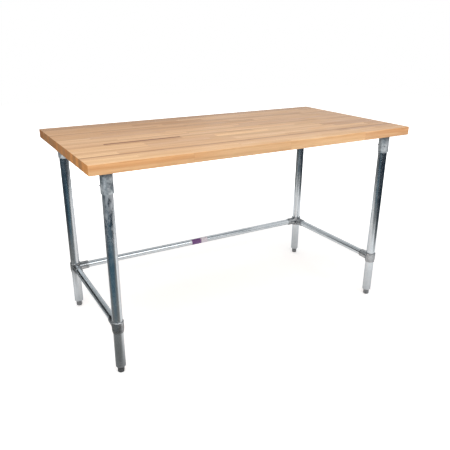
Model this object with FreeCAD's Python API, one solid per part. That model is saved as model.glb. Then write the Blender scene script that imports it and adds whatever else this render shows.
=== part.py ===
"""Butcher block work table: an edge-grain hardwood top on four tube legs, braced low down on the
left, the right and the rear, with feet that screw in and out to level it.

Millimetres. X runs along the length, Y from front to back and Z up. The origin is on the floor
under the middle of the top. Each sub-part is written to parts/ under its own name."""
import FreeCAD, Part
import math
import os

V = FreeCAD.Vector
ALONG_X = V(1, 0, 0)
ALONG_Z = V(0, 0, 1)
DOWN = V(0, 0, -1)
ORIGIN = V(0, 0, 0)

# Table
table_height = 889.0
top_length = 1524.0
top_depth = 762.0
top_thickness = 38.1
rail_count = 20
edge_ease = 2.0

# Legs and braces
leg_diameter = 41.275
leg_wall = 1.65
leg_inset_end = 80.5  # leg axis to the end of the top
leg_inset_edge = 69.0  # leg axis to the front or back edge of the top
brace_diameter = 31.75
brace_wall = 1.65
brace_height = 212.5  # brace axis above the floor
slip = 0.3  # radial gap between a tube and the casting that it slides into

# Leg sockets under the top
socket_wall = 3.0
socket_height = 88.0
socket_rim = 1.2
flange_diameter = 101.6
flange_thickness = 4.8
flange_hole_circle = 78.0
flange_screws = 4
socket_fillet = 4.0

# Brace fittings
ring_wall = 3.6
ring_height = 48.0
ring_taper_height = 15.0
ring_taper = 2.0
ring_rim = 1.2
arm_wall = 2.8
arm_flare = 1.6  # how much wider the arm is at the ring than at its mouth
arm_reach = 64.0  # leg axis to the arm's mouth
arm_web = 3.4  # metal between the leg's bore and the bottom of an arm's bore
boss_diameter = 13.0
boss_height = 2.0
end_ring_screw_turn = 20.0
end_ring_screw_rise = 15.0
corner_ring_screw_turn = 225.0
corner_ring_screw_rise = 5.0
arm_screw_reach = 48.0  # leg axis to the set screw in an arm

# Set screws
set_screw_diameter = 6.35
set_screw_chamfer = 0.5
set_screw_proud = 4.0
key_width = 3.2
key_depth = 3.0
screw_fit = 0.05  # radial gap round every screw
tip_gap = 0.1
socket_screw_turn = 65.0
socket_screw_rise = 33.0  # set screws above the socket's lower rim
socket_screws = 3

# Wood screws through the flanges
wood_screw_diameter = 5.5
wood_screw_length = 29.0
wood_screw_point = 6.0
wood_head_diameter = 11.0
wood_head_height = 3.2
cross_width = 1.2
cross_length = 6.0
cross_depth = 2.0

# Feet
foot_flats = 25.4
foot_height = 22.0
foot_pad_diameter = 17.0
foot_toe_height = 4.5
foot_shoulder = 1.2
foot_gap = 0.3  # between a foot and the collar above it when it is screwed home
foot_bore_depth = 12.3
collar_height = 8.0
collar_rim_height = 1.5
collar_lower_diameter = 29.0
insert_depth = 40.0  # length of the insert inside the leg
insert_fit = 0.15
stud_diameter = 9.525
stud_fit = 0.05
stud_seat = 12.0  # length of the stud inside the foot
stud_length = 58.0
dimple_diameter = 13.0
dimple_depth = 0.9
dimple_rise = 11.0  # dimple above the leg's lower end
dimple_turn = -120.0

# Label on the rear brace
label_length = 98.0
label_centre = 5.0
label_thickness = 0.2
label_gap = 0.03
label_wrap = 230.0  # degrees round the tube
label_facing = 215.0  # middle of the label: 180 faces the front and 270 the floor

# Ends of the blocks in each rail, from front to back, as shares of the top's length
BLOCK_ENDS = (
    (0.26, 0.55, 0.82),
    (0.13, 0.41, 0.68, 0.90),
    (0.21, 0.46, 0.77),
    (0.10, 0.33, 0.60, 0.85),
    (0.19, 0.44, 0.70, 0.93),
    (0.195, 0.38, 0.63, 0.82),
    (0.195, 0.29, 0.41, 0.59, 0.79),
    (0.098, 0.315, 0.55, 0.78),
    (0.24, 0.47, 0.72),
    (0.15, 0.36, 0.61, 0.87),
    (0.28, 0.53, 0.81),
    (0.09, 0.31, 0.56, 0.76),
    (0.22, 0.48, 0.69, 0.91),
    (0.14, 0.40, 0.65, 0.84),
    (0.32, 0.57, 0.79),
    (0.18, 0.35, 0.62, 0.88),
    (0.26, 0.50, 0.74),
    (0.12, 0.42, 0.67, 0.92),
    (0.29, 0.54, 0.83),
    (0.16, 0.45, 0.71, 0.94),
)

# Worked out from the sizes above
underside = table_height - top_thickness
leg_radius = leg_diameter / 2
leg_bore_radius = leg_radius - leg_wall
casting_bore_radius = leg_radius + slip
socket_radius = casting_bore_radius + socket_wall
socket_bottom = underside - socket_height
leg_top = underside - flange_thickness
collar_bottom = foot_height + foot_gap
leg_bottom = collar_bottom + collar_height
leg_x = top_length / 2 - leg_inset_end
leg_y = top_depth / 2 - leg_inset_edge
ring_radius = casting_bore_radius + ring_wall
brace_radius = brace_diameter / 2
arm_bore_radius = brace_radius + slip
arm_radius = arm_bore_radius + arm_wall
arm_bore_start = casting_bore_radius + arm_web
stud_radius = stud_diameter / 2
stud_bore_radius = stud_radius + stud_fit

CORNERS = {
    "front_left": (-1, -1),
    "front_right": (1, -1),
    "rear_left": (-1, 1),
    "rear_right": (1, 1),
}


def turned(outline):
    """A solid of revolution about Z from a closed outline of (radius, height) points."""
    points = [V(radius, 0, height) for radius, height in outline + outline[:1]]
    return Part.Face(Part.makePolygon(points)).revolve(ORIGIN, ALONG_Z, 360)


def tube(outer_radius, wall, length, start, direction):
    outside = Part.makeCylinder(outer_radius, length, start, direction)
    return outside.cut(Part.makeCylinder(outer_radius - wall, length, start, direction))


def hex_prism(flats, height):
    """A hexagonal prism standing on the origin, with two of its corners along X."""
    corner_radius = flats / math.sqrt(3)
    corners = [
        V(corner_radius * math.cos(math.radians(a)), corner_radius * math.sin(math.radians(a)), 0)
        for a in range(0, 361, 60)
    ]
    return Part.Face(Part.makePolygon(corners)).extrude(V(0, 0, height))


def tipped_to_x(shape):
    """Lays a shape that stands along Z down along X."""
    shape.rotate(ORIGIN, V(0, 1, 0), 90)
    return shape


def placed(shape, turn, centre):
    """A copy of a shape turned by some degrees about Z and then moved to a centre."""
    copy = shape.copy()
    copy.rotate(ORIGIN, ALONG_Z, turn)
    copy.translate(centre)
    return copy


def mirrored_turn(turn, side):
    """An angle about Z as it is on the left, or in its mirror image on the right."""
    return turn if side < 0 else 180 - turn


def leg_axis(corner, height):
    return V(corner[0] * leg_x, corner[1] * leg_y, height)


# Screws


def set_screw(tip, head):
    """A hex-socket set screw along X, with its tip and its head this far from the origin."""
    length = head - tip
    shank = Part.makeCylinder(set_screw_diameter / 2, length, V(tip, 0, 0), ALONG_X)
    rims = [edge for edge in shank.Edges if edge.Closed]
    shank = shank.makeChamfer(set_screw_chamfer, rims)
    key = tipped_to_x(hex_prism(key_width, key_depth))
    key.translate(V(head - key_depth, 0, 0))
    return shank.cut(key)


def set_screw_hole(reach):
    radius = set_screw_diameter / 2 + screw_fit
    return Part.makeCylinder(radius, reach, ORIGIN, ALONG_X)


def wood_screw():
    """A pan-head wood screw pointing up, with the underside of its head at the origin."""
    radius = wood_screw_diameter / 2
    head_radius = wood_head_diameter / 2
    shoulder = wood_screw_length - wood_screw_point
    solid = turned([
        (0, wood_screw_length),
        (radius, shoulder),
        (radius, 0),
        (head_radius, 0),
        (head_radius, -wood_head_height * 0.4),
        (head_radius * 0.75, -wood_head_height),
        (0, -wood_head_height),
    ])
    for length, width in ((cross_length, cross_width), (cross_width, cross_length)):
        slot = Part.makeBox(length, width, cross_depth, V(-length / 2, -width / 2, -wood_head_height))
        solid = solid.cut(slot)
    return solid


def flange_screw_centres(corner):
    """Where the wood screws go through one socket's flange, as points at its lower face."""
    step = 360 / flange_screws
    arm = V(flange_hole_circle / 2, 0, 0)
    centres = []
    for k in range(flange_screws):
        turn = FreeCAD.Rotation(ALONG_Z, step * (k + 0.5))
        centres.append(leg_axis(corner, leg_top) + turn.multVec(arm))
    return centres


def socket_screw_turns(corner):
    step = 360 / socket_screws
    return [mirrored_turn(socket_screw_turn, corner[0]) + step * k for k in range(socket_screws)]


# Top


def eased_slab():
    corner = V(-top_length / 2, -top_depth / 2, underside)
    slab = Part.makeBox(top_length, top_depth, top_thickness, corner)
    return slab.makeFillet(edge_ease, slab.Edges)


def pilot_holes():
    radius = wood_screw_diameter / 2 + screw_fit
    depth = wood_screw_length + tip_gap
    centres = [c for corner in CORNERS.values() for c in flange_screw_centres(corner)]
    return [Part.makeCylinder(radius, depth, centre, ALONG_Z) for centre in centres]


def top_rail(slab, row, pilots):
    """The end-butted blocks of one rail, counted from the front, with their pilot holes."""
    width = top_depth / rail_count
    shares = (0.0,) + BLOCK_ENDS[row % len(BLOCK_ENDS)] + (1.0,)
    front = -top_depth / 2 + row * width
    blocks = []
    for start, end in zip(shares, shares[1:]):
        corner = V((start - 0.5) * top_length, front, underside)
        room = Part.makeBox((end - start) * top_length, width, top_thickness, corner)
        block = slab.common(room)
        near = [hole for hole in pilots if hole.BoundBox.intersect(room.BoundBox)]
        if near:
            block = block.cut(near)
        blocks += block.Solids
    return Part.makeCompound(blocks)


# Frame


def leg_socket(corner):
    """A flanged cup that holds the top of a leg, with its set screw holes and flange holes."""
    body = turned([
        (0, 0),
        (flange_diameter / 2, 0),
        (flange_diameter / 2, -flange_thickness),
        (socket_radius + socket_fillet, -flange_thickness),
        (socket_radius, -flange_thickness - socket_fillet),
        (socket_radius, socket_rim - socket_height),
        (socket_radius - socket_rim, -socket_height),
        (casting_bore_radius, -socket_height),
        (casting_bore_radius, -flange_thickness),
        (0, -flange_thickness),
    ])
    hole = set_screw_hole(flange_diameter)
    rise = V(0, 0, socket_screw_rise - socket_height)
    body = body.cut([placed(hole, turn, rise) for turn in socket_screw_turns(corner)])
    body.translate(leg_axis(corner, underside))
    radius = wood_screw_diameter / 2 + slip
    centres = flange_screw_centres(corner)
    return body.cut([Part.makeCylinder(radius, flange_thickness, c, ALONG_Z) for c in centres])


def socket_set_screws():
    screw = set_screw(leg_radius + tip_gap, socket_radius + set_screw_proud)
    height = socket_bottom + socket_screw_rise
    return [
        placed(screw, turn, leg_axis(corner, height))
        for corner in CORNERS.values()
        for turn in socket_screw_turns(corner)
    ]


def socket_wood_screws():
    screw = wood_screw()
    centres = [c for corner in CORNERS.values() for c in flange_screw_centres(corner)]
    return [placed(screw, 0, centre) for centre in centres]


def leg(corner):
    """A leg tube with a shallow dimple near its lower end, where the insert is held."""
    shape = tube(leg_radius, leg_wall, leg_top - leg_bottom, leg_axis(corner, leg_bottom), ALONG_Z)
    half = dimple_diameter / 2
    ball_radius = (half * half + dimple_depth * dimple_depth) / (2 * dimple_depth)
    reach = leg_radius - dimple_depth + ball_radius
    ball = Part.makeSphere(ball_radius, V(reach, 0, 0))
    centre = leg_axis(corner, leg_bottom + dimple_rise)
    return shape.cut(placed(ball, mirrored_turn(dimple_turn, corner[0]), centre))


def arm_turns(corner):
    """The way each arm of a fitting points: towards the other end of its brace."""
    to_middle = 0 if corner[0] < 0 else 180
    if corner[1] < 0:
        return [90]
    return [to_middle, 270]


def ring_screw_turn(corner):
    turn = end_ring_screw_turn if corner[1] < 0 else corner_ring_screw_turn
    return mirrored_turn(turn, corner[0])


def ring_screw_rise(corner):
    return end_ring_screw_rise if corner[1] < 0 else corner_ring_screw_rise


def brace_fitting(corner):
    """A ring that slides on a leg, with an arm for each brace, bosses and set screw holes."""
    half = ring_height / 2
    body = turned([
        (0, -half),
        (ring_radius - ring_taper, -half),
        (ring_radius, ring_taper_height - half),
        (ring_radius, half - ring_rim),
        (ring_radius - ring_rim, half),
        (0, half),
    ])
    arm = Part.makeCone(arm_radius + arm_flare, arm_radius, arm_reach, ORIGIN, ALONG_X)
    mouth = [edge for edge in arm.Edges if edge.Closed and edge.BoundBox.XMin > arm_reach / 2]
    arm = arm.makeFillet(ring_rim, mouth)
    boss = Part.makeCylinder(boss_diameter / 2, ring_radius + boss_height, ORIGIN, ALONG_X)
    arm_bore = Part.makeCylinder(arm_bore_radius, arm_reach, V(arm_bore_start, 0, 0), ALONG_X)
    screw_bore = Part.makeCylinder(
        set_screw_diameter / 2 + screw_fit, 2 * arm_radius, V(arm_screw_reach, 0, 0), DOWN
    )
    turns = arm_turns(corner)
    rise = V(0, 0, ring_screw_rise(corner))
    body = body.fuse([placed(arm, turn, ORIGIN) for turn in turns])
    body = body.fuse(placed(boss, ring_screw_turn(corner), rise)).removeSplitter()
    cuts = [Part.makeCylinder(casting_bore_radius, ring_height, V(0, 0, -half), ALONG_Z)]
    cuts += [placed(arm_bore, turn, ORIGIN) for turn in turns]
    cuts += [placed(screw_bore, turn, ORIGIN) for turn in turns]
    cuts.append(placed(set_screw_hole(arm_reach), ring_screw_turn(corner), rise))
    body = body.cut(cuts)
    body.translate(leg_axis(corner, brace_height))
    return body


def fitting_set_screws():
    """One set screw in each ring, and one under each arm."""
    ring_screw = set_screw(leg_radius + tip_gap, ring_radius + boss_height + tip_gap)
    arm_screw = set_screw(brace_radius + tip_gap, arm_radius + arm_flare)
    arm_screw.rotate(ORIGIN, V(0, 1, 0), 90)
    arm_screw.translate(V(arm_screw_reach, 0, 0))
    screws = []
    for corner in CORNERS.values():
        height = brace_height + ring_screw_rise(corner)
        screws.append(placed(ring_screw, ring_screw_turn(corner), leg_axis(corner, height)))
        centre = leg_axis(corner, brace_height)
        screws += [placed(arm_screw, turn, centre) for turn in arm_turns(corner)]
    return screws


def side_brace(side):
    start = V(side * leg_x, arm_bore_start - leg_y, brace_height)
    length = 2 * (leg_y - arm_bore_start)
    return tube(brace_radius, brace_wall, length, start, V(0, 1, 0))


def rear_brace():
    start = V(arm_bore_start - leg_x, leg_y, brace_height)
    length = 2 * (leg_x - arm_bore_start)
    return tube(brace_radius, brace_wall, length, start, ALONG_X)


def brace_label():
    """A thin label wrapped part of the way round the rear brace."""
    inner = brace_radius + label_gap
    outer = inner + label_thickness
    ring = Part.makeCylinder(outer, label_length, ORIGIN, ALONG_Z, label_wrap)
    core = Part.makeCylinder(inner, label_length, ORIGIN, ALONG_Z, label_wrap)
    band = ring.cut(core)
    band.rotate(ORIGIN, ALONG_Z, label_facing - label_wrap / 2)
    band.rotate(ORIGIN, V(0, 1, 0), 90)
    band.rotate(ORIGIN, ALONG_X, 90)
    band.translate(V(label_centre - label_length / 2, leg_y, brace_height))
    return band


# Feet


def foot_insert(corner):
    """A plug in the leg's lower end, with a tapered collar below the tube and a stud bore."""
    body = turned([
        (stud_bore_radius, 0),
        (collar_lower_diameter / 2, 0),
        (leg_radius, collar_height - collar_rim_height),
        (leg_radius, collar_height),
        (leg_bore_radius - insert_fit, collar_height),
        (leg_bore_radius - insert_fit, collar_height + insert_depth),
        (stud_bore_radius, collar_height + insert_depth),
    ])
    body.translate(leg_axis(corner, collar_bottom))
    return body


def foot_stud(corner):
    bottom = leg_axis(corner, foot_height - stud_seat)
    return Part.makeCylinder(stud_radius, stud_length, bottom, ALONG_Z)


def rounded_toe():
    """The turned envelope of a foot: a flat pad, a round toe and a chamfered shoulder."""
    pad = foot_pad_diameter / 2
    side = foot_flats / math.sqrt(3)
    lean = math.sqrt(0.5)
    middle = V(pad + (side - pad) * lean, 0, foot_toe_height * (1 - lean))
    toe = Part.Arc(V(pad, 0, 0), middle, V(side, 0, foot_toe_height)).toShape()
    rest = Part.makePolygon([
        V(side, 0, foot_toe_height),
        V(side, 0, foot_height - foot_shoulder),
        V(foot_flats / 2, 0, foot_height),
        V(0, 0, foot_height),
        ORIGIN,
        V(pad, 0, 0),
    ])
    outline = Part.Wire([toe] + rest.Edges)
    return Part.Face(outline).revolve(ORIGIN, ALONG_Z, 360)


def foot(corner):
    """A hexagonal foot with a rounded toe and a bore for its stud."""
    body = hex_prism(foot_flats, foot_height).common(rounded_toe())
    bore_start = V(0, 0, foot_height - foot_bore_depth)
    body = body.cut(Part.makeCylinder(stud_bore_radius, foot_bore_depth, bore_start, ALONG_Z))
    body.translate(leg_axis(corner, 0))
    return body


def all_nodes():
    slab = eased_slab()
    pilots = pilot_holes()
    nodes = {}
    for row in range(rail_count):
        nodes[f"top_rail_{row + 1:02d}"] = top_rail(slab, row, pilots)
    for name, corner in CORNERS.items():
        kind = "end" if corner[1] < 0 else "corner"
        side = name.split("_")[1]
        nodes[f"leg_socket_{name}"] = leg_socket(corner)
        nodes[f"leg_{name}"] = leg(corner)
        nodes[f"{kind}_fitting_{side}"] = brace_fitting(corner)
        nodes[f"foot_insert_{name}"] = foot_insert(corner)
        nodes[f"foot_stud_{name}"] = foot_stud(corner)
        nodes[f"foot_{name}"] = foot(corner)
    nodes["socket_set_screws"] = Part.makeCompound(socket_set_screws())
    nodes["socket_wood_screws"] = Part.makeCompound(socket_wood_screws())
    nodes["fitting_set_screws"] = Part.makeCompound(fitting_set_screws())
    nodes["brace_left"] = side_brace(-1)
    nodes["brace_right"] = side_brace(1)
    nodes["brace_rear"] = rear_brace()
    nodes["brace_label"] = brace_label()
    return nodes


os.makedirs("parts", exist_ok=True)
for node, shape in all_nodes().items():
    shape.exportStep(f"parts/{node}.step")
    print(node, len(shape.Solids), "solids,", round(shape.Volume / 1000, 2), "cm3", shape.isValid())
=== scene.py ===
"""Looks for the butcher block work table: glued maple blocks, galvanized tubes, cast fittings,
threaded levelling feet and a plain studio. Metres, in the frame of the CAD model."""
import math
import random

import bmesh
import bpy
from mathutils import Matrix, Vector


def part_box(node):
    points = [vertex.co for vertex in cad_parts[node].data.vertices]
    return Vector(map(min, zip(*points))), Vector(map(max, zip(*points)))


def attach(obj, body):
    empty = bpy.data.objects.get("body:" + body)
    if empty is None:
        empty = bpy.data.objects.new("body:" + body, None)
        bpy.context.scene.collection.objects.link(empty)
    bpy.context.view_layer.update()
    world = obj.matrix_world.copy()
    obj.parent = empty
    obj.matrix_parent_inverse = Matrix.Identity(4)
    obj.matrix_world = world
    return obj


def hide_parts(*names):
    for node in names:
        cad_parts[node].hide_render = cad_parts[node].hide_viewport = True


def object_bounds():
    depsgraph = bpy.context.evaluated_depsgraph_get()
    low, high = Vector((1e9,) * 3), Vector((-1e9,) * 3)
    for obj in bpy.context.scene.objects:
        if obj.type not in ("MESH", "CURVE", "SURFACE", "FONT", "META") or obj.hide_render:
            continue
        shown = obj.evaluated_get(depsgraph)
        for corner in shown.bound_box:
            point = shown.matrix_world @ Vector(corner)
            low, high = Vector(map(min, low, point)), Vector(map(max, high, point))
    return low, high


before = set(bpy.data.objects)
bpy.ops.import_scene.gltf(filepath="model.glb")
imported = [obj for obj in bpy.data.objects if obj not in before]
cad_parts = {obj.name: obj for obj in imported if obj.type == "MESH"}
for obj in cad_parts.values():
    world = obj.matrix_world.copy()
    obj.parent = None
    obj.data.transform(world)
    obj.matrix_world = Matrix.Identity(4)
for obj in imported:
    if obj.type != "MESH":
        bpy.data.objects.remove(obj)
cad_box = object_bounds()

TOP_UNDERSIDE = cad_box[1].z - 0.0381

CORNERS = ("front_left", "front_right", "rear_left", "rear_right")

# Camera, from the fitted view
CAMERA_PLACE = (-1.204, -2.033, 1.313)
CAMERA_YAW = 29.74  # degrees, from +Y towards +X
CAMERA_PITCH = 21.19  # degrees below the horizon
CAMERA_ROLL = 0.21
SENSOR = 36.0
LENS = 41.04
SHIFT = (0.0129, 0.0056)

# Wood
EDGE_EASE = 0.002
EASE_STEPS = 4
GLUE_LINE = 0.00035
WOOD_SEED = 11
CREAM = (0.830, 0.560, 0.305)
HONEY = (0.745, 0.480, 0.262)
ROSE = (0.625, 0.400, 0.245)
TAN = (0.545, 0.320, 0.165)
BROWN = (0.350, 0.180, 0.075)

# Zinc reflects less at its rims
RIM_TINT = (0.62, 0.65, 0.67)
CAST_RIM_TINT = (0.42, 0.44, 0.46)

# What the metal reflects: white paper under the table, and the dim studio beyond it
PAPER_CENTRE = (0.476, 0.235)
PAPER_HALF = (1.00, 0.95)
PAPER_TURN = -47.3
PAPER_FADE = 0.40
STUDIO_GREY = (0.245, 0.248, 0.240)
STUDIO_TEAL = (0.078, 0.156, 0.205)
STUDIO_BLACK = (0.011, 0.025, 0.042)

# Threads of the levelling studs: 3/8 inch, 16 to the inch
THREAD_PITCH = 0.0254 / 16
THREAD_DEPTH = 0.0009
THREAD_STEPS = 32


# Helpers


class NodeMaterial:
    """A material built from nodes, with a Principled shader that the methods feed."""

    def __init__(self, name):
        self.material = bpy.data.materials.new(name)
        self.material.use_nodes = True
        self.tree = self.material.node_tree
        self.tree.nodes.clear()
        self.output = self.add("ShaderNodeOutputMaterial")
        self.shader = self.add("ShaderNodeBsdfPrincipled")
        self.link(self.shader.outputs[0], self.output.inputs[0])

    def add(self, kind, **settings):
        node = self.tree.nodes.new(kind)
        for name, value in settings.items():
            setattr(node, name, value)
        return node

    def link(self, source, socket):
        self.tree.links.new(source, socket)

    def feed(self, socket, value):
        """Links a socket to an output, or sets its value."""
        if isinstance(value, bpy.types.NodeSocket):
            self.link(value, socket)
        elif isinstance(value, tuple) and socket.type == "RGBA":
            socket.default_value = (*value[:3], 1.0)
        else:
            socket.default_value = value

    def finish(self, **values):
        """Feeds the Principled shader's sockets, named with underscores for spaces."""
        for name, value in values.items():
            self.feed(self.shader.inputs[name.replace("_", " ")], value)
        return self.material

    def place(self):
        return self.add("ShaderNodeTexCoord").outputs["Object"]

    def attribute(self, name):
        return self.add("ShaderNodeAttribute", attribute_name=name)

    def math(self, operation, a, b=0.0, c=0.0, clamp=False):
        node = self.add("ShaderNodeMath", operation=operation, use_clamp=clamp)
        for socket, value in zip(node.inputs, (a, b, c)):
            self.feed(socket, value)
        return node.outputs[0]

    def vector(self, operation, a, b=(0.0, 0.0, 0.0)):
        node = self.add("ShaderNodeVectorMath", operation=operation)
        self.feed(node.inputs[0], a)
        self.feed(node.inputs[1], b)
        return node.outputs["Value" if operation in ("LENGTH", "DOT_PRODUCT") else "Vector"]

    def split(self, vector):
        node = self.add("ShaderNodeSeparateXYZ")
        self.link(vector, node.inputs[0])
        return node.outputs

    def join(self, x=0.0, y=0.0, z=0.0):
        node = self.add("ShaderNodeCombineXYZ")
        for socket, value in zip(node.inputs, (x, y, z)):
            self.feed(socket, value)
        return node.outputs[0]

    def noise(self, vector, scale=1.0, detail=2.0, roughness=0.5, distortion=0.0):
        node = self.add("ShaderNodeTexNoise")
        values = {"Vector": vector, "Scale": scale, "Detail": detail}
        values.update({"Roughness": roughness, "Distortion": distortion})
        for name, value in values.items():
            self.feed(node.inputs[name], value)
        return node.outputs["Fac"]

    def cells(self, vector, scale, feature="F1"):
        node = self.add("ShaderNodeTexVoronoi", feature=feature)
        self.feed(node.inputs["Vector"], vector)
        self.feed(node.inputs["Scale"], scale)
        return node.outputs

    def range(self, value, low, high, to_low=0.0, to_high=1.0, smooth=False):
        kind = "SMOOTHSTEP" if smooth else "LINEAR"
        node = self.add("ShaderNodeMapRange", interpolation_type=kind)
        for socket, number in zip(node.inputs, (value, low, high, to_low, to_high)):
            self.feed(socket, number)
        return node.outputs[0]

    def mix(self, factor, a, b, blend="MIX"):
        node = self.add("ShaderNodeMix", data_type="RGBA", blend_type=blend)
        self.feed(node.inputs["Factor"], factor)
        self.feed(node.inputs[6], a)
        self.feed(node.inputs[7], b)
        return node.outputs[2]

    def bump(self, height, distance, strength=1.0):
        node = self.add("ShaderNodeBump")
        for name, value in (("Height", height), ("Distance", distance), ("Strength", strength)):
            self.feed(node.inputs[name], value)
        return node.outputs[0]


def blend(a, b, share):
    return tuple(x + (y - x) * share for x, y in zip(a, b))


def scaled(colour, factor):
    return tuple(min(1.0, channel * factor) for channel in colour)


def new_piece(name, mesh, body, material, slot, *nodes):
    """A mesh piece that stands for some CAD nodes and rides on a body."""
    piece = bpy.data.objects.new(name, mesh)
    bpy.context.scene.collection.objects.link(piece)
    mesh.materials.append(material)
    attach(piece, body)
    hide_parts(*nodes)
    return piece


def paint(material, *names):
    """Gives CAD nodes whose names start with one of these words a material."""
    for name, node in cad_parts.items():
        if name.startswith(names):
            node.data.materials.clear()
            node.data.materials.append(material)


# Wood


def wood_material():
    """Solid maple: growth rings round each block's own heart, fibres, flecks and glue lines."""
    m = NodeMaterial("maple")
    place = m.place()
    x, y, z = m.split(place)
    tone = m.attribute("tone").outputs["Color"]
    heart = m.attribute("heart").outputs["Vector"]
    edges = m.attribute("edges")
    x_low, x_high, y_low = m.split(edges.outputs["Vector"])
    y_high = edges.outputs["Alpha"]
    stripe, end_tone, seed = m.split(m.attribute("marks").outputs["Vector"])

    shifted = m.vector("ADD", place, m.join(seed, seed, seed))
    slow = m.vector("MULTIPLY", shifted, (1.1, 14.0, 14.0))
    warp = m.math("MULTIPLY", m.math("SUBTRACT", m.noise(slow, 1.0, 2.0), 0.5), 0.016)
    from_heart = m.split(m.vector("SUBTRACT", place, heart))
    radius = m.vector("LENGTH", m.join(0.0, from_heart[1], from_heart[2]))
    radius = m.math("ADD", radius, warp)
    rings = m.math("FRACT", m.math("MULTIPLY", radius, 430.0))
    ring_line = m.range(rings, 0.35, 0.95, 0.0, 1.0, True)
    bands = m.noise(m.join(m.math("MULTIPLY", radius, 120.0), seed, 0.0), 1.0, 2.0, 0.6)

    broad = m.noise(m.vector("MULTIPLY", shifted, (2.2, 42.0, 42.0)), 1.0, 3.0, 0.6)
    streaks = m.noise(m.vector("MULTIPLY", shifted, (4.0, 160.0, 160.0)), 1.0, 4.0, 0.65)
    fibres = m.noise(m.vector("MULTIPLY", shifted, (26.0, 1500.0, 1500.0)), 1.0, 3.0, 0.6)
    flecks = m.noise(m.vector("MULTIPLY", shifted, (130.0, 2400.0, 2400.0)), 1.0, 1.0, 0.5)
    fleck = m.range(flecks, 0.66, 0.74)

    dark = m.mix(1.0, tone, (0.70, 0.56, 0.44), "MULTIPLY")
    deep = m.mix(1.0, tone, (0.50, 0.34, 0.24), "MULTIPLY")
    pale = m.mix(1.0, tone, (1.10, 1.12, 1.16), "MULTIPLY")
    colour = m.mix(m.range(bands, 0.30, 0.72, 0.0, 0.50), pale, dark)
    colour = m.mix(m.range(broad, 0.42, 0.70, 0.0, 0.48), colour, dark)
    colour = m.mix(m.range(streaks, 0.50, 0.66, 0.0, 0.50), colour, dark)
    colour = m.mix(m.math("MULTIPLY", ring_line, 0.14), colour, deep)
    colour = m.mix(m.range(fibres, 0.35, 0.70, 0.0, 0.22), colour, dark)
    colour = m.mix(m.math("MULTIPLY", fleck, 0.30), colour, deep)

    # A darker stripe along the back (positive) or the front (negative) of a block
    across = m.math("DIVIDE", m.math("SUBTRACT", y, y_low), m.math("SUBTRACT", y_high, y_low))
    wander = m.math("MULTIPLY", m.math("SUBTRACT", broad, 0.5), 0.35)
    across = m.math("ADD", across, wander)
    back = m.math("MULTIPLY", m.range(across, 0.54, 0.74, 0.0, 1.0, True), stripe)
    front = m.math("MULTIPLY", m.range(across, 0.40, 0.20, 0.0, 1.0, True), m.math("MULTIPLY", stripe, -1.0))
    shade = m.math("MAXIMUM", m.math("MAXIMUM", back, front), 0.0)
    colour = m.mix(shade, colour, m.mix(1.0, tone, (0.30, 0.17, 0.10), "MULTIPLY"))

    # The long edges keep more of the oil than the scrubbed top and carry painted light and shade, darker at the
    # left and lighter at the right, and the end grain drinks most
    normal_x, normal_y, _ = m.split(m.add("ShaderNodeNewGeometry").outputs["Normal"])
    edge = m.range(m.math("ABSOLUTE", normal_y), 0.60, 0.95)
    drift = m.math("ADD", x, m.math("MULTIPLY", m.math("SUBTRACT", broad, 0.5), 0.25))
    oil = m.math("MAXIMUM", m.range(drift, -0.45, -0.22, 1.0, 0.25), m.range(drift, 0.48, 0.72, 0.25, 0.75))
    low_z, high_z = TOP_UNDERSIDE + 0.012, TOP_UNDERSIDE + 0.024
    oil = m.math("MULTIPLY", oil, m.range(z, low_z, high_z, 0.55, 1.0, True))
    # Painted light and shade: the long edges are darkened towards the left end and lightened towards the right
    painted_light_along_x = m.range(drift, -0.15, 0.50, 0.89, 1.10)
    edge_colour = m.mix(oil, colour, m.mix(1.0, colour, (0.98, 0.80, 0.64), "MULTIPLY"))
    edge_colour = m.mix(1.0, edge_colour, m.join(painted_light_along_x, painted_light_along_x, painted_light_along_x), "MULTIPLY")
    colour = m.mix(edge, colour, edge_colour)
    end = m.range(m.math("ABSOLUTE", normal_x), 0.75, 0.95)
    pores = m.noise(m.vector("MULTIPLY", shifted, (300.0, 900.0, 900.0)), 1.0, 2.0, 0.7)
    end_colour = m.mix(1.0, colour, (0.88, 0.60, 0.29), "MULTIPLY")
    end_colour = m.mix(m.range(pores, 0.45, 0.70, 0.0, 0.35), end_colour, deep)
    end_colour = m.mix(end_tone, end_colour, BROWN)
    colour = m.mix(end, colour, end_colour)

    # Glue lines round each block
    nearest = m.math("MINIMUM", m.math("SUBTRACT", x, x_low), m.math("SUBTRACT", x_high, x))
    beside = m.math("MINIMUM", m.math("SUBTRACT", y, y_low), m.math("SUBTRACT", y_high, y))
    nearest = m.math("MINIMUM", nearest, beside)
    glue = m.range(nearest, GLUE_LINE * 0.4, GLUE_LINE, 1.0, 0.0)
    colour = m.mix(m.math("MULTIPLY", glue, 0.65), colour, deep)
    end_joint = m.math("MULTIPLY", m.range(beside, GLUE_LINE, 4 * GLUE_LINE, 0.75, 0.0), end)
    colour = m.mix(end_joint, colour, deep)

    grain = m.math("ADD", m.math("MULTIPLY", fibres, 0.5), m.math("MULTIPLY", ring_line, 0.2))
    grain = m.math("SUBTRACT", grain, m.math("MULTIPLY", fleck, 0.5))
    grain = m.math("SUBTRACT", grain, m.math("MULTIPLY", glue, 0.7))
    roughness = m.range(m.noise(m.vector("MULTIPLY", shifted, (9.0, 30.0, 30.0)), 1.0, 3.0), 0.3, 0.7, 0.42, 0.56)
    roughness = m.math("ADD", roughness, m.math("MULTIPLY", end, 0.12))
    return m.finish(
        Base_Color=colour, Roughness=roughness, Normal=m.bump(grain, 0.00012, 0.6),
        IOR=1.40,
    )


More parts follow.
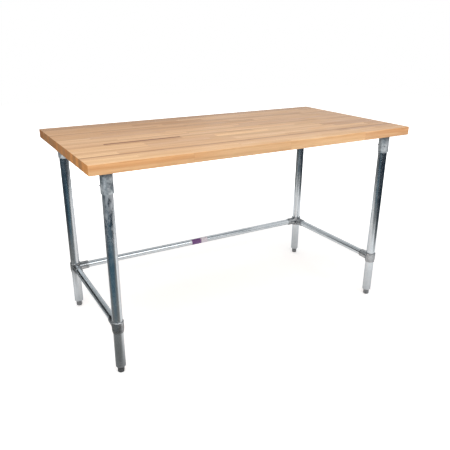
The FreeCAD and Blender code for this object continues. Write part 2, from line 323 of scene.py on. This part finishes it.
# What stands out in single blocks, counted from the front row and from the left:
# (row, block): (colour, stripe along its back (+) or front (-) edge)
SPECIAL_BLOCKS = {
    (0, 0): (blend(CREAM, HONEY, 0.15), 0.0),
    (0, 1): (blend(CREAM, HONEY, 0.45), 0.0),
    (0, 2): (blend(CREAM, ROSE, 0.10), 0.0),
    (0, 3): (blend(HONEY, TAN, 0.15), 0.0),
    (1, 0): (CREAM, 0.0),
    (1, 1): (blend(CREAM, HONEY, 0.30), 0.0),
    (1, 2): (blend(CREAM, ROSE, 0.40), 0.0),
    (1, 3): (blend(CREAM, ROSE, 0.40), 0.0),
    (1, 4): (blend(HONEY, TAN, 0.20), 0.0),
    (2, 0): (blend(HONEY, TAN, 0.15), 0.50),
    (2, 1): (blend(HONEY, ROSE, 0.20), 0.45),
    (2, 2): (blend(HONEY, ROSE, 0.30), 0.50),
    (2, 3): (blend(ROSE, TAN, 0.35), 0.50),
    (3, 0): (CREAM, 0.0),
    (3, 1): (blend(HONEY, TAN, 0.12), 0.0),
    (3, 4): (blend(HONEY, TAN, 0.55), 0.0),
    (4, 0): (blend(HONEY, TAN, 0.15), 0.0),
    (4, 1): (blend(HONEY, TAN, 0.30), 0.0),
    (4, 2): (blend(CREAM, ROSE, 0.40), 0.0),
    (4, 4): (blend(ROSE, TAN, 0.40), 0.0),
    (5, 0): (blend(CREAM, HONEY, 0.90), 0.0),
    (5, 1): (blend(HONEY, ROSE, 0.60), 0.0),
    (5, 3): (blend(HONEY, ROSE, 0.30), 0.0),
    (5, 4): (blend(ROSE, TAN, 0.45), 0.0),
    (6, 0): (blend(CREAM, HONEY, 0.40), 0.0),
    (6, 1): (blend(HONEY, TAN, 0.45), 0.0),
    (6, 2): (blend(HONEY, ROSE, 0.40), 0.0),
    (6, 3): (scaled(CREAM, 1.03), 0.0),
    (6, 4): (blend(CREAM, ROSE, 0.40), 0.0),
    (6, 5): (blend(ROSE, TAN, 0.75), 0.0),
    (7, 0): (blend(HONEY, TAN, 0.45), 0.0),
    (7, 1): (scaled(TAN, 1.05), 1.0),
    (7, 2): (blend(HONEY, TAN, 0.20), 0.40),
    (7, 4): (blend(HONEY, ROSE, 0.75), 0.0),
    (9, 4): (blend(HONEY, ROSE, 0.80), 0.25),
    (10, 2): (blend(HONEY, ROSE, 0.70), 0.0),
    (11, 1): (blend(ROSE, HONEY, 0.20), 0.0),
    (11, 4): (blend(HONEY, ROSE, 0.90), 0.0),
    (12, 0): (blend(HONEY, TAN, 0.50), 0.0),
    (12, 1): (blend(HONEY, TAN, 0.45), 0.0),
    (13, 0): (blend(HONEY, TAN, 0.40), 0.0),
    (13, 1): (blend(ROSE, TAN, 0.70), 0.0),
    (14, 0): (blend(HONEY, TAN, 0.35), 0.45),
    (14, 1): (blend(HONEY, TAN, 0.45), 0.0),
    (15, 0): (blend(HONEY, TAN, 0.45), 0.0),
    (15, 1): (blend(HONEY, TAN, 0.50), 0.0),
    (16, 0): (blend(HONEY, TAN, 0.60), 0.0),
    (16, 1): (scaled(TAN, 1.05), 0.30),
    (16, 2): (blend(CREAM, ROSE, 0.70), 0.0),
    (16, 3): (blend(CREAM, ROSE, 0.60), 0.0),
    (17, 0): (blend(HONEY, TAN, 0.65), 0.0),
    (17, 1): (blend(HONEY, TAN, 0.75), 0.0),
    (17, 2): (blend(CREAM, ROSE, 0.55), 0.0),
    (17, 3): (blend(CREAM, ROSE, 0.50), 0.0),
    # Rows 18 and 19 are scaled darker as painted shade, for light that falls off at the back of the top
    (18, 0): (scaled(blend(ROSE, TAN, 0.55), 0.88), 0.0),
    (18, 1): (scaled(blend(ROSE, TAN, 0.45), 0.88), 0.0),
    (19, 0): (scaled(blend(ROSE, TAN, 0.35), 0.86), 0.20),
    (19, 1): (scaled(blend(ROSE, TAN, 0.50), 0.86), 0.0),
}


# How brown the end grain is at the left end of each row, from the front
END_TONES = (
    0.00, 0.05, 0.58, 0.05, 0.50, 0.00, 0.60, 0.15, 0.66, 0.18,
    0.62, 0.12, 0.55, 0.78, 0.80, 0.35, 0.75, 0.55, 0.20, 0.10,
)


def ordinary_tone(draw, row, rows):
    """The colour of a block: pale in front, and pinker and greyer towards the back, which is partly the wood's tone
    and partly painted sheen, with painted shade darkening the last rows.
    """
    depth = row / (rows - 1)
    tone = blend(blend(CREAM, HONEY, 0.35), blend(HONEY, ROSE, 0.70), depth)
    tone = blend(tone, draw.choice((CREAM, HONEY, ROSE, TAN)), draw.uniform(0.05, 0.50))
    # Painted shade: the last quarter of the rows is darkened by up to 12 percent, for light that falls off at the
    # back
    return scaled(tone, draw.uniform(0.93, 1.05) * (1.0 - 0.12 * max(0.0, depth - 0.75) / 0.25))


def block_ends(node):
    """Where the blocks of a rail start and end along X, read from the CAD rail's end faces."""
    mesh = node.data
    places = set()
    for face in mesh.polygons:
        if abs(face.normal.x) > 0.999:
            places.add(round(face.center.x, 4))
    return sorted(places)


def block_mesh(bm, low, high, table_low, table_high):
    """Adds one block, with the edges that lie on the table's outside eased."""
    made = bmesh.ops.create_cube(bm, size=1.0)
    size = high - low
    centre = (low + high) / 2
    for vertex in made["verts"]:
        vertex.co = Vector(a * b + c for a, b, c in zip(vertex.co, size, centre))
    tolerance = 1e-4

    def outer_sides(co):
        sides = set()
        for axis in range(3):
            if abs(co[axis] - table_low[axis]) < tolerance:
                sides.add((axis, -1))
            if abs(co[axis] - table_high[axis]) < tolerance:
                sides.add((axis, 1))
        return sides

    edges = {edge for vertex in made["verts"] for edge in vertex.link_edges}
    eased = []
    for edge in edges:
        shared = outer_sides(edge.verts[0].co) & outer_sides(edge.verts[1].co)
        if len(shared) >= 2:
            eased.append(edge)
    if eased:
        bmesh.ops.bevel(
            bm, geom=sorted(eased, key=lambda e: e.index), offset=EDGE_EASE, offset_type="OFFSET",
            segments=EASE_STEPS, profile=0.5, affect="EDGES",
        )


def rail_piece(row, rows, material, table_low, table_high, draw):
    """One rail of end-butted blocks, each with its own colour, heart and grain."""
    name = f"top_rail_{row + 1:02d}"
    low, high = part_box(name)
    ends = block_ends(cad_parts[name])
    mesh = bpy.data.meshes.new(f"{name}_blocks")
    bm = bmesh.new()
    layers = {
        "tone": bm.verts.layers.float_color.new("tone"),
        "edges": bm.verts.layers.float_color.new("edges"),
        "heart": bm.verts.layers.float_vector.new("heart"),
        "marks": bm.verts.layers.float_vector.new("marks"),
    }
    far = 1.0
    for index, (start, end) in enumerate(zip(ends, ends[1:])):
        before = set(bm.verts)
        block_mesh(bm, Vector((start, low.y, low.z)), Vector((end, high.y, high.z)), table_low, table_high)
        tone = ordinary_tone(draw, row, rows)
        stripe = draw.choice((0.0, 0.0, 0.15, -0.15, 0.30, -0.30))
        if (row, index) in SPECIAL_BLOCKS:
            tone, stripe = SPECIAL_BLOCKS[row, index]
        turn = draw.uniform(0, 2 * math.pi) if row else draw.uniform(-0.65, -0.35) * math.pi
        reach = draw.uniform(0.035, 0.12)
        heart = Vector((0, (low.y + high.y) / 2 + reach * math.cos(turn), (low.z + high.z) / 2 + reach * math.sin(turn)))
        depth = row / (rows - 1)
        end_tone = END_TONES[row] if not index else min(0.9, max(0.0, 0.50 * depth + draw.uniform(-0.20, 0.30)))
        x_low = start if index else start - far
        x_high = end if index < len(ends) - 2 else end + far
        y_low = low.y if row else low.y - far
        y_high = high.y if row < rows - 1 else high.y + far
        seed = draw.uniform(0, 40)
        for vertex in set(bm.verts) - before:
            vertex[layers["tone"]] = (*tone, 1.0)
            vertex[layers["edges"]] = (x_low, x_high, y_low, y_high)
            vertex[layers["heart"]] = heart
            vertex[layers["marks"]] = (stripe, end_tone, seed)
    bm.to_mesh(mesh)
    bm.free()
    piece = new_piece(f"{name}_blocks", mesh, "frame_and_top", material, "hardwood_top", name)
    smooth_by_angle(piece)
    return piece


def smooth_by_angle(piece, degrees=32.0):
    """Smooth shading, with the edges sharper than this angle left crisp."""
    mesh = piece.data
    for face in mesh.polygons:
        face.use_smooth = True
    mesh.set_sharp_from_angle(angle=math.radians(degrees))


def wooden_top():
    names = sorted(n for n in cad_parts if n.startswith("top_rail_"))
    boxes = [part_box(name) for name in names]
    table_low = Vector(min(low[axis] for low, high in boxes) for axis in range(3))
    table_high = Vector(max(high[axis] for low, high in boxes) for axis in range(3))
    draw = random.Random(WOOD_SEED)
    material = wood_material()
    for row in range(len(names)):
        rail_piece(row, len(names), material, table_low, table_high, draw)


# Metal


def galvanized_material(name, light, dark, rough_low, rough_high, marks_from, marks_to, marks_share):
    """Zinc-dipped steel: faint crystals, cloudy grey, runs along the tube and matt handling marks,
    which are few below the first height and most above the second."""
    m = NodeMaterial(name)
    place = m.place()
    wobble = m.noise(place, 55.0, 3.0, 0.6)
    shift = m.math("MULTIPLY", wobble, 0.012)
    warped = m.vector("ADD", place, m.join(shift, 0.0, shift))
    crystal = m.split(m.cells(warped, 95.0)["Color"])[0]
    small = m.split(m.cells(warped, 240.0)["Color"])[1]
    clouds = m.noise(place, 9.0, 4.0, 0.6)
    runs = m.noise(m.vector("MULTIPLY", place, (75.0, 75.0, 5.0)), 1.0, 3.0, 0.6)
    grit = m.noise(place, 900.0, 2.0, 0.6)
    level = m.math("ADD", m.math("MULTIPLY", crystal, 0.22), m.math("MULTIPLY", small, 0.10))
    level = m.math("ADD", level, m.range(clouds, 0.35, 0.65, 0.0, 0.35))
    level = m.math("ADD", level, m.range(runs, 0.35, 0.70, 0.0, 0.33))
    colour = m.mix(m.math("MINIMUM", level, 1.0), dark, light)
    height = m.split(place)[2]
    # Painted shade: the tube darkens towards the floor, standing in for the shade round the feet
    film_and_painted_shade = m.range(height, 0.03, 0.21, 0.70, 1.0)
    colour = m.mix(1.0, colour, m.join(film_and_painted_shade, film_and_painted_shade, film_and_painted_shade), "MULTIPLY")
    smears = m.noise(m.vector("MULTIPLY", warped, (62.0, 62.0, 24.0)), 1.0, 4.0, 0.62)
    marks = m.range(smears, 0.34, 0.66)
    marks = m.math("MULTIPLY", marks, m.range(height, marks_from, marks_to, 0.1 * marks_share, marks_share))
    colour = m.mix(m.math("MULTIPLY", marks, 0.45), colour, scaled(light, 1.08))
    roughness = m.range(level, 0.1, 0.9, rough_low, rough_high)
    roughness = m.math("ADD", roughness, m.math("MULTIPLY", marks, 0.30))
    relief = m.math("ADD", m.math("MULTIPLY", crystal, 0.20), m.math("MULTIPLY", grit, 0.20))
    relief = m.math("ADD", relief, m.math("MULTIPLY", runs, 0.5))
    return m.finish(
        Base_Color=colour, Metallic=m.range(marks, 0.0, 1.0, 1.0, 0.72), Roughness=roughness,
        Normal=m.bump(relief, 0.00025, 0.30), Specular_Tint=RIM_TINT,
    )


def cast_material(name, light, dark, roughness_middle, metallic=1.0, painted_shadow_from=10.0, patch=0.6):
    """A zinc-coated casting: fine sand grain and cloudy grey, and painted shadow above a height, for the table
    top's shadow on the socket.
    """
    m = NodeMaterial(name)
    place = m.place()
    sand = m.noise(place, 1100.0, 3.0, 0.7)
    dents = m.noise(place, 170.0, 3.0, 0.6)
    clouds = m.noise(place, 28.0, 4.0, 0.6)
    crystal = m.split(m.cells(place, 190.0)["Color"])[0]
    level = m.math("ADD", m.range(clouds, 0.38, 0.62, 0.0, patch), m.math("MULTIPLY", crystal, 0.25))
    level = m.math("ADD", level, m.range(dents, 0.40, 0.70, 0.0, 0.25))
    colour = m.mix(m.math("MINIMUM", level, 1.0), dark, light)
    # Painted shadow: darker above a height, where the table top shades the top of the socket
    edge = m.math("ADD", m.split(place)[2], m.math("MULTIPLY", m.math("SUBTRACT", clouds, 0.5), 0.03))
    film_and_painted_shade = m.range(edge, painted_shadow_from, painted_shadow_from + 0.022, 1.0, 0.42, True)
    colour = m.mix(1.0, colour, m.join(film_and_painted_shade, film_and_painted_shade, film_and_painted_shade), "MULTIPLY")
    speck = m.range(sand, 0.62, 0.74)
    colour = m.mix(m.math("MULTIPLY", speck, 0.35), colour, scaled(dark, 0.6))
    height = m.math("ADD", m.math("MULTIPLY", sand, 0.35), m.math("MULTIPLY", dents, 0.8))
    roughness = m.range(level, 0.0, 1.0, roughness_middle - 0.07, roughness_middle + 0.07)
    return m.finish(
        Base_Color=colour, Metallic=metallic, Roughness=roughness, Normal=m.bump(height, 0.0004, 0.5),
        Specular_Tint=CAST_RIM_TINT,
    )


def steel_material(name, colour, roughness_middle, metallic=1.0):
    """Turned or plated steel: fine turning marks, a little rust-brown film and smudges."""
    m = NodeMaterial(name)
    place = m.place()
    marks = m.noise(m.vector("MULTIPLY", place, (350.0, 350.0, 2200.0)), 1.0, 2.0, 0.6)
    smudge = m.noise(place, 120.0, 3.0, 0.6)
    film_and_painted_shade = m.range(m.noise(place, 260.0, 3.0, 0.7), 0.55, 0.75)
    shade = m.mix(m.range(smudge, 0.30, 0.70), scaled(colour, 0.72), scaled(colour, 1.22))
    shade = m.mix(m.math("MULTIPLY", film_and_painted_shade, 0.30), shade, (0.16, 0.12, 0.10))
    roughness = m.range(smudge, 0.30, 0.70, roughness_middle - 0.08, roughness_middle + 0.10)
    height = m.math("ADD", m.math("MULTIPLY", marks, 0.5), m.math("MULTIPLY", smudge, 0.4))
    return m.finish(
        Base_Color=shade, Metallic=metallic, Roughness=roughness, Normal=m.bump(height, 0.0002, 0.4),
    )


def label_material():
    """A plain printed label: a purple field, a thin pale rule and a pale field."""
    low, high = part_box("brace_label")
    m = NodeMaterial("plain_label")
    place = m.place()
    along = m.range(m.split(place)[0], low.x, high.x)
    print_grain = m.noise(place, 1500.0, 2.0, 0.7)
    scuff = m.range(m.noise(m.vector("MULTIPLY", place, (120.0, 400.0, 400.0)), 1.0, 3.0, 0.7), 0.62, 0.75)
    purple = m.mix(m.range(print_grain, 0.35, 0.65), (0.115, 0.035, 0.165), (0.165, 0.060, 0.225))
    paper = m.mix(m.range(print_grain, 0.35, 0.65), (0.62, 0.58, 0.66), (0.72, 0.69, 0.75))
    pale_part = m.range(along, 0.600, 0.604)
    rule = m.math("MULTIPLY", m.range(along, 0.560, 0.564), m.range(along, 0.580, 0.576))
    margin = m.math("MAXIMUM", m.range(along, 0.020, 0.016), m.range(along, 0.980, 0.984))
    colour = m.mix(pale_part, purple, paper)
    colour = m.mix(m.math("MAXIMUM", rule, margin), colour, (0.66, 0.63, 0.70))
    colour = m.mix(m.math("MULTIPLY", scuff, 0.35), colour, (0.55, 0.54, 0.56))
    roughness = m.range(print_grain, 0.3, 0.7, 0.38, 0.50)
    return m.finish(Base_Color=colour, Roughness=roughness, Normal=m.bump(print_grain, 0.00005, 0.4))


def threaded_stud(name, body, material):
    """A stud with a real 60 degree thread, in the room of its plain CAD cylinder."""
    low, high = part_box(name)
    axis = (low + high) / 2
    outer = (high.x - low.x) / 2
    root = outer - THREAD_DEPTH
    length = high.z - low.z
    turns = length / THREAD_PITCH
    profile = ((0.0, root), (0.30, root), (0.45, outer), (0.55, outer), (0.85, root))
    taper = 0.6 * THREAD_PITCH
    bm = bmesh.new()
    columns = []
    for step in range(THREAD_STEPS):
        angle = 2 * math.pi * step / THREAD_STEPS
        column = []
        for turn in range(-1, int(turns) + 2):
            for share, radius in profile:
                height = (turn + share + step / THREAD_STEPS) * THREAD_PITCH
                height = min(max(height, 0.0), length)
                end_gap = min(height, length - height)
                radius = min(radius, root + (outer - root) * min(1.0, end_gap / taper))
                around = Vector((radius * math.cos(angle), radius * math.sin(angle), 0))
                column.append(bm.verts.new(Vector((axis.x, axis.y, low.z + height)) + around))
        columns.append(column)

    def corner(step, k):
        wraps, step = divmod(step, THREAD_STEPS)
        return columns[step][k + wraps * len(profile)]

    for step in range(THREAD_STEPS):
        for k in range(len(columns[0]) - len(profile) - 1):
            bm.faces.new((corner(step, k), corner(step + 1, k), corner(step + 1, k + 1), corner(step, k + 1)))
    bmesh.ops.remove_doubles(bm, verts=bm.verts, dist=1e-6)
    edges = [edge for edge in bm.edges if edge.is_boundary]
    bmesh.ops.holes_fill(bm, edges=edges, sides=0)
    bmesh.ops.recalc_face_normals(bm, faces=bm.faces)
    mesh = bpy.data.meshes.new(f"{name}_thread")
    bm.to_mesh(mesh)
    bm.free()
    return new_piece(f"{name}_thread", mesh, body, material, "zinc_screw", name)


def metalwork():
    leg_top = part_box("leg_front_left")[1].z
    marked = (0.56 * leg_top, 0.82 * leg_top)
    light, dark = (0.64, 0.665, 0.685), (0.45, 0.49, 0.52)
    tube = galvanized_material("galvanized_steel", light, dark, 0.13, 0.22, *marked, 0.06)
    handled = galvanized_material("galvanized_steel_handled", light, dark, 0.13, 0.22, *marked, 0.95)
    cast = cast_material("cast_fitting_zinc", (0.46, 0.47, 0.48), (0.15, 0.16, 0.17), 0.25)
    # The painted shadow of the table top on the sockets starts this far below its underside
    socket_shadow_from = TOP_UNDERSIDE - 0.034
    socket = cast_material("cast_socket_zinc", (0.80, 0.84, 0.86), (0.16, 0.21, 0.25), 0.36, 0.76, socket_shadow_from, 0.8)
    insert = galvanized_material("insert_zinc", (0.60, 0.62, 0.64), (0.44, 0.47, 0.49), 0.24, 0.34, *marked, 0.25)
    screw = steel_material("zinc_plated_screw", (0.34, 0.35, 0.37), 0.30)
    foot = steel_material("dark_steel_foot", (0.17, 0.175, 0.18), 0.34)
    paint(tube, "leg_front", "leg_rear", "brace_left", "brace_right", "brace_rear")
    paint(handled, "leg_front_left")
    paint(cast, "corner_fitting", "end_fitting")
    paint(socket, "leg_socket")
    paint(insert, "foot_insert")
    paint(screw, "socket_set_screws", "socket_wood_screws", "fitting_set_screws")
    paint(foot, *[f"foot_{corner}" for corner in CORNERS])
    paint(label_material(), "brace_label")
    for corner in CORNERS:
        threaded_stud(f"foot_stud_{corner}", f"stud_{corner}", screw)


# Studio


def see_through_rays(m):
    """1 for camera, mirror and glass rays, and 0 for the rays that light the object."""
    path = m.add("ShaderNodeLightPath")
    seen = m.math("MAXIMUM", path.outputs["Is Camera Ray"], path.outputs["Is Glossy Ray"])
    return m.math("MAXIMUM", seen, path.outputs["Is Transmission Ray"])


def studio_floor(size=16.0):
    """A pale floor that keeps the object's shadow and shows white to the camera and to metal."""
    m = NodeMaterial("studio_floor")
    place = m.place()
    paper = m.noise(place, 40.0, 3.0, 0.6)
    tint = m.mix(m.range(paper, 0.3, 0.7), (0.90, 0.90, 0.90), (0.94, 0.94, 0.94))
    m.finish(Base_Color=tint, Roughness=0.9, Specular_IOR_Level=0.0)
    away = m.range(m.vector("LENGTH", place), 1.2, 2.6, 0.36, 1.0)
    glow = m.add("ShaderNodeEmission")
    m.feed(glow.inputs["Color"], (1.0, 1.0, 1.0))
    m.feed(glow.inputs["Strength"], m.math("MULTIPLY", see_through_rays(m), away))
    both = m.add("ShaderNodeAddShader")
    m.link(m.shader.outputs[0], both.inputs[0])
    m.link(glow.outputs[0], both.inputs[1])
    m.link(both.outputs[0], m.output.inputs[0])
    mesh = bpy.data.meshes.new("studio_floor")
    half = size / 2
    mesh.from_pydata([(-half, -half, 0), (half, -half, 0), (half, half, 0), (-half, half, 0)], [], [(0, 1, 2, 3)])
    floor = bpy.data.objects.new("studio_floor", mesh)
    bpy.context.scene.collection.objects.link(floor)
    mesh.materials.append(m.material)


def seen_by_mirrors(card):
    """Keeps a studio card out of everything but reflections."""
    bpy.context.scene.collection.objects.link(card)
    for kind in ("camera", "diffuse", "transmission", "volume_scatter", "shadow"):
        setattr(card, f"visible_{kind}", False)


def dark_flag(size=16.0):
    """A mat that only mirrors see: open over the paper under the table, and dim round it."""
    m = NodeMaterial("dark_flag")
    local = m.place()
    outside = m.vector("SUBTRACT", m.vector("ABSOLUTE", local), (PAPER_HALF[0], PAPER_HALF[1], 0.0))
    outside = m.vector("MAXIMUM", outside, (0.0, 0.0, 0.0))
    dim = m.range(m.vector("LENGTH", outside), 0.0, PAPER_FADE, 0.0, 1.0, True)
    to_right, to_back, _ = m.split(local)
    to_front = m.math("MULTIPLY", to_back, -1.0)
    beyond = m.math("MULTIPLY", m.math("MAXIMUM", m.math("SUBTRACT", to_front, 1.05), 0.0), 0.6)
    colour = m.mix(m.range(to_front, 1.45, 1.95, 0.0, 1.0, True), STUDIO_GREY, STUDIO_TEAL)
    to_left = m.math("SUBTRACT", beyond, to_right)
    left_corner = m.math("MULTIPLY", m.range(to_left, 1.45, 2.0, 0.0, 0.75, True), m.range(to_front, 0.7, 1.1))
    right_side = m.range(m.math("ADD", beyond, to_right), 0.95, 1.95, 0.0, 1.0, True)
    colour = m.mix(m.math("MAXIMUM", left_corner, right_side), colour, STUDIO_BLACK)
    glow = m.add("ShaderNodeEmission")
    m.feed(glow.inputs["Color"], colour)
    m.feed(glow.inputs["Strength"], 1.0)
    both = m.add("ShaderNodeMixShader")
    m.link(dim, both.inputs[0])
    m.link(m.add("ShaderNodeBsdfTransparent").outputs[0], both.inputs[1])
    m.link(glow.outputs[0], both.inputs[2])
    m.link(both.outputs[0], m.output.inputs[0])
    half = size / 2
    mesh = bpy.data.meshes.new("dark_flag")
    mesh.from_pydata([(-half, -half, 0), (half, -half, 0), (half, half, 0), (-half, half, 0)], [], [(0, 1, 2, 3)])
    mesh.materials.append(m.material)
    flag = bpy.data.objects.new("dark_flag", mesh)
    flag.location = (*PAPER_CENTRE, 0.002)
    flag.rotation_euler.z = math.radians(PAPER_TURN)
    seen_by_mirrors(flag)


def plain_card(name, colour, corners):
    """A card of one even colour that only mirrors see."""
    m = NodeMaterial(name)
    glow = m.add("ShaderNodeEmission")
    m.feed(glow.inputs["Color"], colour)
    m.feed(glow.inputs["Strength"], 1.0)
    m.link(glow.outputs[0], m.output.inputs[0])
    mesh = bpy.data.meshes.new(name)
    mesh.from_pydata(corners, [], [(0, 1, 2, 3)])
    mesh.materials.append(m.material)
    seen_by_mirrors(bpy.data.objects.new(name, mesh))


def studio_cards():
    """A black card behind the left end, for the left brace's dark side, and a grey one that
    keeps the brown of the table's underside out of the braces."""
    left, right, back, low, high = -2.9, -1.10, 1.75, 0.30, 1.65
    standing = [(left, back, low), (right, back, low), (right, back, high), (left, back, high)]
    plain_card("dark_card", (0.035, 0.042, 0.043), standing)
    far, bottom, top = 0.75, 0.95, 2.60
    standing = [(right, back, bottom), (far, back, bottom), (far, back, top), (right, back, top)]
    plain_card("back_card", (0.60, 0.61, 0.61), standing)
    corner, other = cad_box
    height = TOP_UNDERSIDE - 0.004
    flat = [(corner.x, corner.y), (other.x, corner.y), (other.x, other.y), (corner.x, other.y)]
    plain_card("grey_card", (0.42, 0.44, 0.45), [(x, y, height) for x, y in flat])


def studio_world(ambient=0.62):
    world = bpy.data.worlds.new("studio_world")
    bpy.context.scene.world = world
    world.use_nodes = True
    tree = world.node_tree
    tree.nodes.clear()
    path = tree.nodes.new("ShaderNodeLightPath")
    most = tree.nodes.new("ShaderNodeMath")
    most.operation = "MAXIMUM"
    tree.links.new(path.outputs["Is Camera Ray"], most.inputs[0])
    tree.links.new(path.outputs["Is Glossy Ray"], most.inputs[1])
    more = tree.nodes.new("ShaderNodeMath")
    more.operation = "MAXIMUM"
    tree.links.new(most.outputs[0], more.inputs[0])
    tree.links.new(path.outputs["Is Transmission Ray"], more.inputs[1])
    strength = tree.nodes.new("ShaderNodeMapRange")
    tree.links.new(more.outputs[0], strength.inputs[0])
    strength.inputs[3].default_value = ambient
    strength.inputs[4].default_value = 1.0
    background = tree.nodes.new("ShaderNodeBackground")
    background.inputs["Color"].default_value = (1.0, 1.0, 1.0, 1.0)
    tree.links.new(strength.outputs[0], background.inputs["Strength"])
    output = tree.nodes.new("ShaderNodeOutputWorld")
    tree.links.new(background.outputs[0], output.inputs[0])


def area_lamp(name, place, target, size, watts):
    light = bpy.data.lights.new(name, "AREA")
    light.shape = "RECTANGLE"
    light.size, light.size_y = size
    light.energy = watts
    lamp = bpy.data.objects.new(name, light)
    bpy.context.scene.collection.objects.link(lamp)
    lamp.location = place
    aim = Vector(target) - Vector(place)
    lamp.rotation_euler = aim.to_track_quat("-Z", "Y").to_euler()
    return lamp


def studio_lights():
    high = cad_box[1]
    area_lamp("overhead_softbox", (-0.8, -0.7, high.z + 1.7), (-0.3, -0.2, high.z), (1.8, 1.4), 16.5)
    area_lamp("front_softbox", (0.4, -2.8, 2.3), (0.1, 0.0, 0.7), (2.6, 1.0), 29.0)
    area_lamp("left_softbox", (-2.2, -1.6, 1.2), (-0.76, -0.3, 0.8), (0.9, 0.9), 8.0)
    rear = area_lamp("rear_softbox", (0.5, 3.2, 0.90), (0.0, 0.38, 0.65), (2.4, 1.0), 22.0)
    rear.visible_glossy = False


def studio_camera():
    yaw, pitch, roll = (math.radians(a) for a in (CAMERA_YAW, CAMERA_PITCH, CAMERA_ROLL))
    ahead = Vector((math.sin(yaw) * math.cos(pitch), math.cos(yaw) * math.cos(pitch), -math.sin(pitch)))
    level = Vector((math.cos(yaw), -math.sin(yaw), 0))
    above = level.cross(ahead)
    right = level * math.cos(roll) + above * math.sin(roll)
    up = above * math.cos(roll) - level * math.sin(roll)
    data = bpy.data.cameras.new("studio_camera")
    data.sensor_width = SENSOR
    data.lens = LENS
    data.shift_x, data.shift_y = SHIFT
    camera = bpy.data.objects.new("studio_camera", data)
    bpy.context.scene.collection.objects.link(camera)
    turn = Matrix((right, up, -ahead)).transposed().to_4x4()
    camera.matrix_world = Matrix.Translation(Vector(CAMERA_PLACE)) @ turn
    bpy.context.scene.camera = camera


wooden_top()
metalwork()
studio_floor()
dark_flag()
studio_cards()
studio_world()
studio_lights()
studio_camera()
bpy.context.scene.view_settings.view_transform = "Standard"
